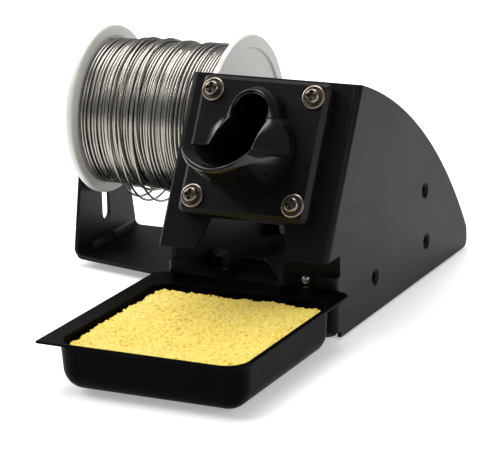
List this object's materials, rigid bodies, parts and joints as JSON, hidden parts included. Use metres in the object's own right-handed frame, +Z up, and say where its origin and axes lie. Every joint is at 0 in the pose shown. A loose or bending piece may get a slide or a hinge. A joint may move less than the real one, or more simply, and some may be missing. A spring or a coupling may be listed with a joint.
{
  "type": "soldering iron station",
  "caption": "Folded sheet stand with a sloping iron holder, a pull-out sponge tray in front and a solder spool on a slotted side bracket.",
  "frame": {"origin": "middle of the overall box, on the surface the station stands on", "axes": "+X to the right as the user faces the iron holder, +Y towards the rear, +Z up; the tray is at -Y and the spool at -X"},
  "size_m": [0.1502, 0.217, 0.0933],
  "materials": {
    "black_painted_sheet": "satin",
    "black_tray_sheet": "satin",
    "bright_steel": "bright",
    "black_rubber": "matt",
    "black_moulding": "satin",
    "black_gloss_moulding": "gloss",
    "nickel_plated": "bright",
    "white_plastic": "satin",
    "solder_wire": "dull bright",
    "yellow_sponge": "porous"
  },
  "bodies": {
    "stand": {"body_shell": "black_painted_sheet", "base_plate": "black_painted_sheet", "inner_plate": "black_painted_sheet", "plate_rivets": "bright_steel", "rubber_feet": "black_rubber", "holder_plate": "black_moulding", "holder_funnel": "black_gloss_moulding", "holder_rear_tube": "black_moulding", "holder_screws": "nickel_plated", "holder_washers": "nickel_plated", "holder_nuts": "nickel_plated", "spool_bracket": "black_painted_sheet", "bracket_foot": "black_rubber", "bracket_screws": "nickel_plated", "bracket_washers": "nickel_plated", "bracket_nuts": "nickel_plated"},
    "tray": {"sponge_tray": "black_tray_sheet"},
    "sponge_pad": {"sponge": "yellow_sponge"},
    "axle": {"axle_bolt": "nickel_plated", "axle_sleeve": "bright_steel", "axle_washers": "nickel_plated"},
    "wing_nut": {"axle_wing_nut": "nickel_plated"},
    "spool": {"spool_core": "white_plastic", "spool_flange_left": "white_plastic", "spool_flange_right": "white_plastic", "solder_winding": "solder_wire", "loose_solder_turns": "solder_wire"}
  },
  "joints": [
    {"name": "tray_slide", "type": "slide", "parent": "stand", "child": "tray", "axis": [0, -1, 0], "range_m": [0, 0.06]},
    {"name": "sponge_lift", "type": "slide", "parent": "tray", "child": "sponge_pad", "axis": [0, 0, 1], "range_m": [0, 0.03]},
    {"name": "axle_height", "type": "slide", "parent": "stand", "child": "axle", "axis": [0, 0, 1], "range_m": [-0.005, 0.004]},
    {"name": "spool_spin", "type": "hinge", "parent": "axle", "child": "spool", "pos_m": [-0.0344, 0.05205, 0.0595], "axis": [1, 0, 0], "continuous": true},
    {"name": "wing_nut_turn", "type": "hinge", "parent": "axle", "child": "wing_nut", "pos_m": [-0.0344, 0.05205, 0.0595], "axis": [1, 0, 0], "continuous": true}
  ]
}
